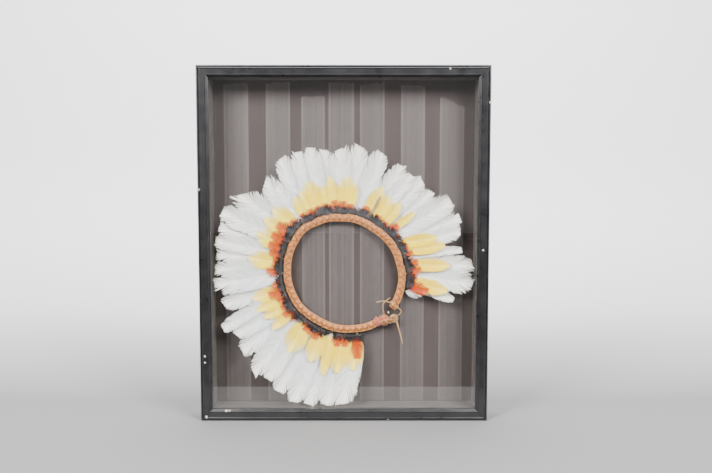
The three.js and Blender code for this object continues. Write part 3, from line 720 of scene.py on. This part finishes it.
def speckle_group():
    """Uneven light and dark over a surface, at a chosen scale and stretch."""
    group, given, result = new_group(
        "speckle", [("Scale", "NodeSocketFloat", 50.0),
                    ("Stretch", "NodeSocketVector", (1, 1, 1)),
                    ("Low", "NodeSocketFloat", .3), ("High", "NodeSocketFloat", .7)],
        [("Mask", "NodeSocketFloat")])
    where = group.nodes.new("ShaderNodeTexCoord").outputs["Object"]
    placed = wire(group, "ShaderNodeVectorMath", {0: where, 1: given["Stretch"]},
                  operation="MULTIPLY").outputs[0]
    noise = wire(group, "ShaderNodeTexNoise", {"Vector": placed, "Scale": given["Scale"],
                                               "Detail": 4.0, "Roughness": .6})
    mask = wire(group, "ShaderNodeMapRange", {0: noise.outputs[0], 1: given["Low"],
                                              2: given["High"]}).outputs[0]
    group.links.new(mask, result["Mask"])


def barb_group():
    """What each point of a feather knows about itself."""
    group, _, result = new_group("barb look", [], [
        ("Shade", "NodeSocketFloat"), ("Along", "NodeSocketFloat"),
        ("Mood", "NodeSocketFloat")])
    look = wire(group, "ShaderNodeAttribute", attribute_name="look")
    parts = wire(group, "ShaderNodeSeparateColor", {0: look.outputs["Color"]})
    group.links.new(parts.outputs["Red"], result["Shade"])
    group.links.new(parts.outputs["Blue"], result["Along"])
    group.links.new(look.outputs["Alpha"], result["Mood"])


def chip_group():
    """A small ragged chip in the paint about one spot."""
    group, given, result = new_group(
        "paint chip", [("Spot", "NodeSocketVector", (0, 0, 0)),
                       ("Size", "NodeSocketFloat", .002)],
        [("Mask", "NodeSocketFloat")])
    where = group.nodes.new("ShaderNodeTexCoord").outputs["Object"]
    away = wire(group, "ShaderNodeVectorMath", {0: where, 1: given["Spot"]},
                operation="DISTANCE").outputs[1]
    noise = wire(group, "ShaderNodeTexNoise", {"Vector": where, "Scale": 600.0}).outputs[0]
    ragged = worked_out(group, "MULTIPLY", noise, given["Size"])
    group.links.new(worked_out(group, "LESS_THAN", away, ragged), result["Mask"])


class Finish:
    """A material under construction: its tree, its main shader, and shared effects in it."""

    def __init__(self, name, **sockets):
        self.material = bpy.data.materials.new(name)
        self.material.use_nodes = True
        self.tree = self.material.node_tree
        self.shader = self.tree.nodes["Principled BSDF"]
        for label, value in sockets.items():
            self.shader.inputs[label.replace("_", " ")].default_value = value
        FINISHES[name] = self.material

    def effect(self, group, inputs=None):
        node = wire(self.tree, "ShaderNodeGroup", node_tree=bpy.data.node_groups[group])
        for key, value in (inputs or {}).items():
            node.inputs[key].default_value = value
        return node.outputs

    def speckle(self, scale, low=.3, high=.7, stretch=(1, 1, 1)):
        return self.effect("speckle", {"Scale": scale, "Low": low, "High": high,
                                       "Stretch": stretch})["Mask"]

    def feed(self, label, socket):
        self.tree.links.new(socket, self.shader.inputs[label])

    def two_tone(self, mask, first, second):
        self.feed("Base Color", mixed(self.tree, mask, first, second))

    def bump(self, height, strength=.3, distance=.0005):
        node = wire(self.tree, "ShaderNodeBump", {"Height": height, "Strength": strength,
                                                  "Distance": distance})
        self.feed("Normal", node.outputs[0])


def barb_finish(name, shaded, plain, tip, moods, roughness=.75, sheen=.1, specular=.25):
    """Barbs: streaks along each barb, a tip tint, and a tint for the feather's mood."""
    finish = Finish(name, Roughness=roughness, Sheen_Weight=sheen,
                    Specular_IOR_Level=specular)
    tree, look = finish.tree, finish.effect("barb look")
    streak = remapped(tree, look["Shade"], 0, 1, .1, 1)
    colour = mixed(tree, streak, shaded, plain)
    near_tip = remapped(tree, look["Along"], .6, 1.0, 0, 1)
    colour = mixed(tree, near_tip, colour, tip)
    tint = mixed(tree, look["Mood"], moods[0], moods[1])
    colour = mixed(tree, 1.0, colour, tint, "MULTIPLY")
    blotch = finish.speckle(60, .35, .75)
    colour = mixed(tree, remapped(tree, blotch, 0, 1, 0, .12), colour, shaded)
    finish.feed("Base Color", colour)


def make_finishes(colours):
    """Every material but the backdrop's."""
    for group in (speckle_group, barb_group, chip_group):
        group()
    barb_finish("white_barbs", (.56, .55, .53), (.98, .96, .92), (.96, .90, .80),
                ((.80, .90, 1.0), (1.0, .98, .94)))
    barb_finish("yellow_barbs", (.78, .56, .01), (.98, .80, .02), (.98, .85, .12),
                ((1.0, 1.0, 2.6), (1.0, .9, .4)), sheen=.03)
    barb_finish("orange_barbs", (.30, .035, .002), (.52, .085, .003), (.60, .15, .012),
                ((1.0, 1.25, 2.0), (1.0, .6, .5)), sheen=.03)
    # The black barbs' teal and purple mood tints are painted sheen, for their iridescence.
    barb_finish("black_barbs", (.002, .002, .0025), (.010, .011, .014), (.016, .009, .006),
                ((.8, 1.3, 1.35), (1.25, .9, 1.2)), roughness=.5, sheen=0, specular=.22)
    barb_finish("brown_barbs", (.12, .075, .04), (.24, .16, .09), (.3, .22, .14),
                ((1, 1, 1), (1, 1, 1)))
    thread = Finish("dark_thread", Roughness=.85)
    thread.two_tone(thread.speckle(300), (.02, .015, .012), (.07, .045, .03))
    quill = Finish("pale_quill", Roughness=.4)
    quill.two_tone(quill.speckle(90), (.66, .60, .48), (.82, .79, .70))

    cane = Finish("split_cane", Roughness=.55)
    fibre = cane.speckle(160)
    cane.two_tone(fibre, (.34, .13, .03), colours.cane)
    cane.bump(fibre, .4)
    wound = Finish("brown_binding", Roughness=.6)
    look = wound.effect("barb look")
    worn = wound.speckle(240, .35, .65)
    tone = mixed(wound.tree, look["Shade"], (.12, .024, .003), (.30, .08, .010))
    wound.two_tone(remapped(wound.tree, worn, 0, 1, 0, .3), tone, colours.cane)
    wound.bump(worn, .3)
    thread = Finish("red_thread", Roughness=.8, Sheen_Weight=.3)
    patch = thread.speckle(170, .42, .6)
    thread.two_tone(patch, colours.thread, (.50, .13, .06))
    string = Finish("tan_string", Roughness=.8, Sheen_Weight=.2)
    fibre = string.speckle(420)
    string.two_tone(fibre, (.27, .13, .04), colours.string)
    string.bump(fibre, .4)

    paint = Finish("black_paint", Roughness=.4, Specular_IOR_Level=.5)
    tree = paint.tree
    dull = paint.speckle(45)
    chips = None
    for spot, size in PAINT_CHIPS:
        mask = paint.effect("paint chip", {"Spot": [v * MM for v in spot],
                                           "Size": size * MM})["Mask"]
        chips = mask if chips is None else worked_out(tree, "MAXIMUM", chips, mask)
    black = mixed(tree, dull, colours.moulding, (.012, .012, .013))
    paint.two_tone(chips, black, (.52, .44, .34))
    paint.feed("Roughness", remapped(tree, dull, 0, 1, .26, .36))
    wood = Finish("dark_stain", Roughness=.75)
    grain = wood.speckle(30, .3, .7, (1, 1, .06))
    wood.two_tone(grain, (.035, .03, .026), (.06, .052, .045))
    wood.bump(grain, .2)
    cloth = Finish("board_cloth", Roughness=.95, Specular_IOR_Level=.2)
    slub = cloth.speckle(130, .3, .7, (1, 1, .03))
    soft = cloth.speckle(9)
    colour = mixed(cloth.tree, slub, colours.board, (.045, .036, .034))
    cloth.two_tone(remapped(cloth.tree, soft, 0, 1, 0, .35), colour, (.034, .028, .026))
    cloth.bump(cloth.speckle(900), .25, .0003)
    facing = Finish("worn_facing", Roughness=.6, Specular_IOR_Level=.3)
    look, worn = facing.effect("barb look"), facing.speckle(420, .45, .75, (1, 1, .12))
    tone = mixed(facing.tree, look["Shade"], (.050, .0405, .038), (.074, .062, .058))
    facing.two_tone(remapped(facing.tree, worn, 0, 1, 0, .3), tone, (.085, .073, .069))
    pin = Finish("bright_pin", Roughness=.2, Metallic=1.0)
    pin.two_tone(pin.speckle(300), (.6, .6, .58), (.8, .8, .78))
    clear_glass()


def clear_glass():
    """Picture glass that lets the room's light through to what is behind it."""
    glass = Finish("clear_glass", Roughness=0.0, IOR=1.5, Transmission_Weight=1.0)
    tree = glass.tree
    dust = glass.speckle(24, .5, .9)
    glass.two_tone(dust, (1, 1, 1), (.97, .97, .96))
    path = tree.nodes.new("ShaderNodeLightPath")
    passing = worked_out(tree, "MAXIMUM", path.outputs["Is Shadow Ray"],
                         path.outputs["Is Diffuse Ray"])
    open_air = tree.nodes.new("ShaderNodeBsdfTransparent")
    both = wire(tree, "ShaderNodeMixShader", {0: passing, 1: glass.shader.outputs[0],
                                              2: open_air.outputs[0]})
    tree.links.new(both.outputs[0], tree.nodes["Material Output"].inputs["Surface"])


def dress_box():
    """Gives the display box's own solids their materials."""
    for name in ("bottom_rail", "top_rail", "left_stile", "right_stile"):
        wear(f"frame_{name}", "black_paint")
    wear("glass_pane", "clear_glass")
    wear("back_board", "board_cloth")
    wear("mount_pin", "bright_pin")
    for name in ("spacer_rim", "hidden_post_1", "hidden_post_2"):
        wear(name, "dark_stain")


def wear(node, finish):
    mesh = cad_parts[node].data
    mesh.materials.clear()
    mesh.materials.append(FINISHES[finish])


# ---------------------------------------------------------------- the stage

CAMERA = {"lens": 42.88, "sensor": 36.0, "spot": (.021, -1.476, .449), "down": 4.96}
LIGHTS = [                          # where it is, what it is aimed at, size, share of the power
    ("left_light", (-1.5, -1.9, 1.7), (0, 0, .3), 1.0, 1.0),
    ("right_light", (1.5, -1.9, 1.7), (0, 0, .3), 1.0, 1.0),
    ("wall_light", (0, .3, 2.6), (0, 1.4, .7), 1.6, .6)]
MIRRORED_TO = -.245                 # floor in the glass: painted dark nearer, painted glow beyond
SWEEP = .5                          # radius between floor and wall


def soft_light(name, spot, target, size, power):
    data = bpy.data.lights.new(name, "AREA")
    data.shape, data.size, data.energy = "SQUARE", size, power
    lamp = bpy.data.objects.new(name, data)
    lamp.location = spot
    lamp.rotation_euler = (Vector(target) - Vector(spot)).to_track_quat("-Z", "Y").to_euler()
    bpy.context.scene.collection.objects.link(lamp)


def backdrop(settings):
    """A floor that sweeps up into a wall behind the object, with a painted reflection in the
    glass.
    """
    bm = bmesh.new()
    foot = settings.wall_distance - SWEEP
    profile = [(-4.0, 0.0), (-.5, 0.0), (foot, 0.0)]
    for step in range(1, 9):
        turn = math.radians(step * 11.25)
        profile.append((foot + SWEEP * math.sin(turn), SWEEP - SWEEP * math.cos(turn)))
    profile.append((settings.wall_distance, 5.0))
    verts = [bm.verts.new((-4.0, y, z)) for y, z in profile]
    edges = [bm.edges.new(pair) for pair in zip(verts, verts[1:])]
    drawn = bmesh.ops.extrude_edge_only(bm, edges=edges)["geom"]
    bmesh.ops.translate(bm, vec=(8.0, 0, 0),
                        verts=[item for item in drawn if isinstance(item, bmesh.types.BMVert)])
    bmesh.ops.recalc_face_normals(bm, faces=bm.faces)
    mesh = bpy.data.meshes.new("backdrop")
    bm.to_mesh(mesh)
    bm.free()
    mesh.polygons.foreach_set("use_smooth", np.ones(len(mesh.polygons), bool))
    floor = bpy.data.objects.new("backdrop", mesh)
    bpy.context.scene.collection.objects.link(floor)
    paper = Finish("backdrop_paper", Roughness=.9, Specular_IOR_Level=.1)
    paper.shader.inputs["Emission Color"].default_value = (1, 1, 1, 1)
    tree = paper.tree
    where = tree.nodes.new("ShaderNodeTexCoord").outputs["Object"]
    depth = wire(tree, "ShaderNodeSeparateXYZ", {0: where}).outputs["Y"]
    colour = mixed(tree, remapped(tree, depth, .1, settings.wall_distance),
                   settings.floor_colour, settings.wall_colour)
    # Painted reflection: in the glass the near floor is painted dark, the rest a painted glow.
    path = tree.nodes.new("ShaderNodeLightPath")
    painted_dark_reflection, painted_glow_reflection = (worked_out(tree, "MULTIPLY", worked_out(tree, side, depth, MIRRORED_TO),
                              path.outputs["Is Glossy Ray"])
                   for side in ("LESS_THAN", "GREATER_THAN"))
    paper.two_tone(painted_dark_reflection, colour, (.01, .01, .01))
    paper.feed("Emission Strength", remapped(tree, painted_glow_reflection, 0, 1, 0, settings.mirrored_floor))
    mesh.materials.append(paper.material)


def room(strength):
    """Pale to the eye, and dim where it lights or is mirrored."""
    world = bpy.data.worlds.new("room")
    bpy.context.scene.world = world
    world.use_nodes = True
    tree = world.node_tree
    path = tree.nodes.new("ShaderNodeLightPath")
    pale = wire(tree, "ShaderNodeBackground", {"Color": (.8, .8, .8, 1), "Strength": 1.0})
    dim = tree.nodes["Background"]
    dim.inputs["Color"].default_value = (.8, .8, .82, 1)
    dim.inputs["Strength"].default_value = strength
    both = wire(tree, "ShaderNodeMixShader", {0: path.outputs["Is Camera Ray"],
                                              1: dim.outputs[0], 2: pale.outputs[0]})
    tree.links.new(both.outputs[0], tree.nodes["World Output"].inputs["Surface"])


def set_camera():
    data = bpy.data.cameras.new("camera")
    data.sensor_width = CAMERA["sensor"]
    data.lens = CAMERA["lens"]
    camera = bpy.data.objects.new("camera", data)
    camera.location = CAMERA["spot"]
    camera.rotation_euler = (math.radians(90 - CAMERA["down"]), 0, 0)
    bpy.context.scene.collection.objects.link(camera)
    bpy.context.scene.camera = camera


# ---------------------------------------------------------------- properties

class HeaddressSizes(bpy.types.PropertyGroup):
    barb_spacing: FloatProperty(name="Barb spacing", description="Gap from barb to barb along "
                                "a white feather's shaft", default=.00055, unit="LENGTH")
    winding_pitch: FloatProperty(name="Winding pitch", description="How far the ring's binding "
                                 "moves on in one turn", default=.022, unit="LENGTH")
    seed: IntProperty(name="Seed", description="Changes how the barbs clump and fray",
                      default=7)


def colour_property(name, description, default):
    return FloatVectorProperty(name=name, description=description, subtype="COLOR",
                               default=default, min=0, max=1)


class HeaddressColours(bpy.types.PropertyGroup):
    cane: colour_property("Cane", "The ring's cane", (.42, .165, .03))
    thread: colour_property("Thread", "The red thread at the tie", (.36, .025, .015))
    string: colour_property("String", "The lashing's string", (.50, .29, .10))
    moulding: colour_property("Moulding", "The box's black paint", (.006, .006, .007))
    board: colour_property("Board", "The cloth behind the headdress", (.055, .043, .040))


class HeaddressStage(bpy.types.PropertyGroup):
    key_power: FloatProperty(name="Light power", description="Each soft light's power",
                             default=185.0, unit="POWER")
    room_strength: FloatProperty(name="Room light", description="Light from all round",
                                 default=.4)
    mirrored_floor: FloatProperty(name="Mirrored floor", description="Extra light on the near "
                                  "floor where the glass mirrors it", default=.45)
    wall_distance: FloatProperty(name="Wall distance", description="From the box to the wall",
                                 default=1.4, unit="LENGTH")
    floor_colour: colour_property("Floor", "The floor's colour", (.20, .196, .196))
    wall_colour: colour_property("Wall", "The wall's colour", (.82, .82, .82))


# ---------------------------------------------------------------- operators

class HEADDRESS_OT_finishes(bpy.types.Operator):
    """Makes every material and dresses the display box in them"""
    bl_idname = "headdress.finishes"
    bl_label = "Finishes and display box"

    def execute(self, context):
        make_finishes(context.scene.headdress_colours)
        dress_box()
        return {"FINISHED"}


class HEADDRESS_OT_ring(bpy.types.Operator):
    """Makes the head ring with its winding"""
    bl_idname = "headdress.ring"
    bl_label = "Head ring"

    def execute(self, context):
        head_ring(context.scene.headdress_sizes)
        return {"FINISHED"}


class HEADDRESS_OT_ties(bpy.types.Operator):
    """Makes the thread wrap and the string lashing"""
    bl_idname = "headdress.ties"
    bl_label = "Thread and string"

    def execute(self, context):
        thread_wrap(context.scene.headdress_sizes)
        string_lashing(context.scene.headdress_sizes)
        return {"FINISHED"}


class HEADDRESS_OT_white(bpy.types.Operator):
    """Grows the long white feathers"""
    bl_idname = "headdress.white"
    bl_label = "White feathers"

    def execute(self, context):
        white_feathers(context.scene.headdress_sizes)
        return {"FINISHED"}


class HEADDRESS_OT_rows(bpy.types.Operator):
    """Grows the yellow, orange and black rows"""
    bl_idname = "headdress.rows"
    bl_label = "Coloured rows"

    def execute(self, context):
        for grow in (yellow_feathers, orange_feathers, black_feathers):
            grow(context.scene.headdress_sizes)
        return {"FINISHED"}


class HEADDRESS_OT_strips(bpy.types.Operator):
    """Lays the faint strips down the board"""
    bl_idname = "headdress.strips"
    bl_label = "Board strips"

    def execute(self, context):
        board_strips(context.scene.headdress_sizes)
        return {"FINISHED"}


class HEADDRESS_OT_small(bpy.types.Operator):
    """Grows the brown feather and the down tuft"""
    bl_idname = "headdress.small"
    bl_label = "Brown feather and tuft"

    def execute(self, context):
        small_feathers(context.scene.headdress_sizes)
        return {"FINISHED"}


class HEADDRESS_OT_stage(bpy.types.Operator):
    """Sets the floor, the lights and the camera"""
    bl_idname = "headdress.stage"
    bl_label = "Stage"

    def execute(self, context):
        settings = context.scene.headdress_stage
        backdrop(settings)
        room(settings.room_strength)
        for name, spot, target, size, share in LIGHTS:
            soft_light(name, spot, target, size, settings.key_power * share)
        set_camera()
        return {"FINISHED"}


STEPS = ("finishes", "ring", "ties", "white", "rows", "small", "strips", "stage")


class HEADDRESS_PT_steps(bpy.types.Panel):
    """The steps that dress the headdress"""
    bl_idname = "HEADDRESS_PT_steps"
    bl_label = "Headdress"
    bl_space_type = "VIEW_3D"
    bl_region_type = "UI"
    bl_category = "Headdress"

    def draw(self, context):
        for step in STEPS:
            self.layout.operator(f"headdress.{step}")
        for group in ("headdress_sizes", "headdress_colours", "headdress_stage"):
            settings = getattr(context.scene, group)
            for label in settings.__annotations__:
                self.layout.prop(settings, label)


CLASSES = (HeaddressSizes, HeaddressColours, HeaddressStage, HEADDRESS_OT_finishes,
           HEADDRESS_OT_ring, HEADDRESS_OT_ties, HEADDRESS_OT_white, HEADDRESS_OT_rows,
           HEADDRESS_OT_small, HEADDRESS_OT_strips, HEADDRESS_OT_stage, HEADDRESS_PT_steps)


def register():
    for item in CLASSES:
        bpy.utils.register_class(item)
    bpy.types.Scene.headdress_sizes = PointerProperty(type=HeaddressSizes)
    bpy.types.Scene.headdress_colours = PointerProperty(type=HeaddressColours)
    bpy.types.Scene.headdress_stage = PointerProperty(type=HeaddressStage)


def unregister():
    for group in ("headdress_sizes", "headdress_colours", "headdress_stage"):
        delattr(bpy.types.Scene, group)
    for item in reversed(CLASSES):
        bpy.utils.unregister_class(item)


def main():
    register()
    for step in STEPS:
        getattr(bpy.ops.headdress, step)()


if __name__ == "__main__":
    main()
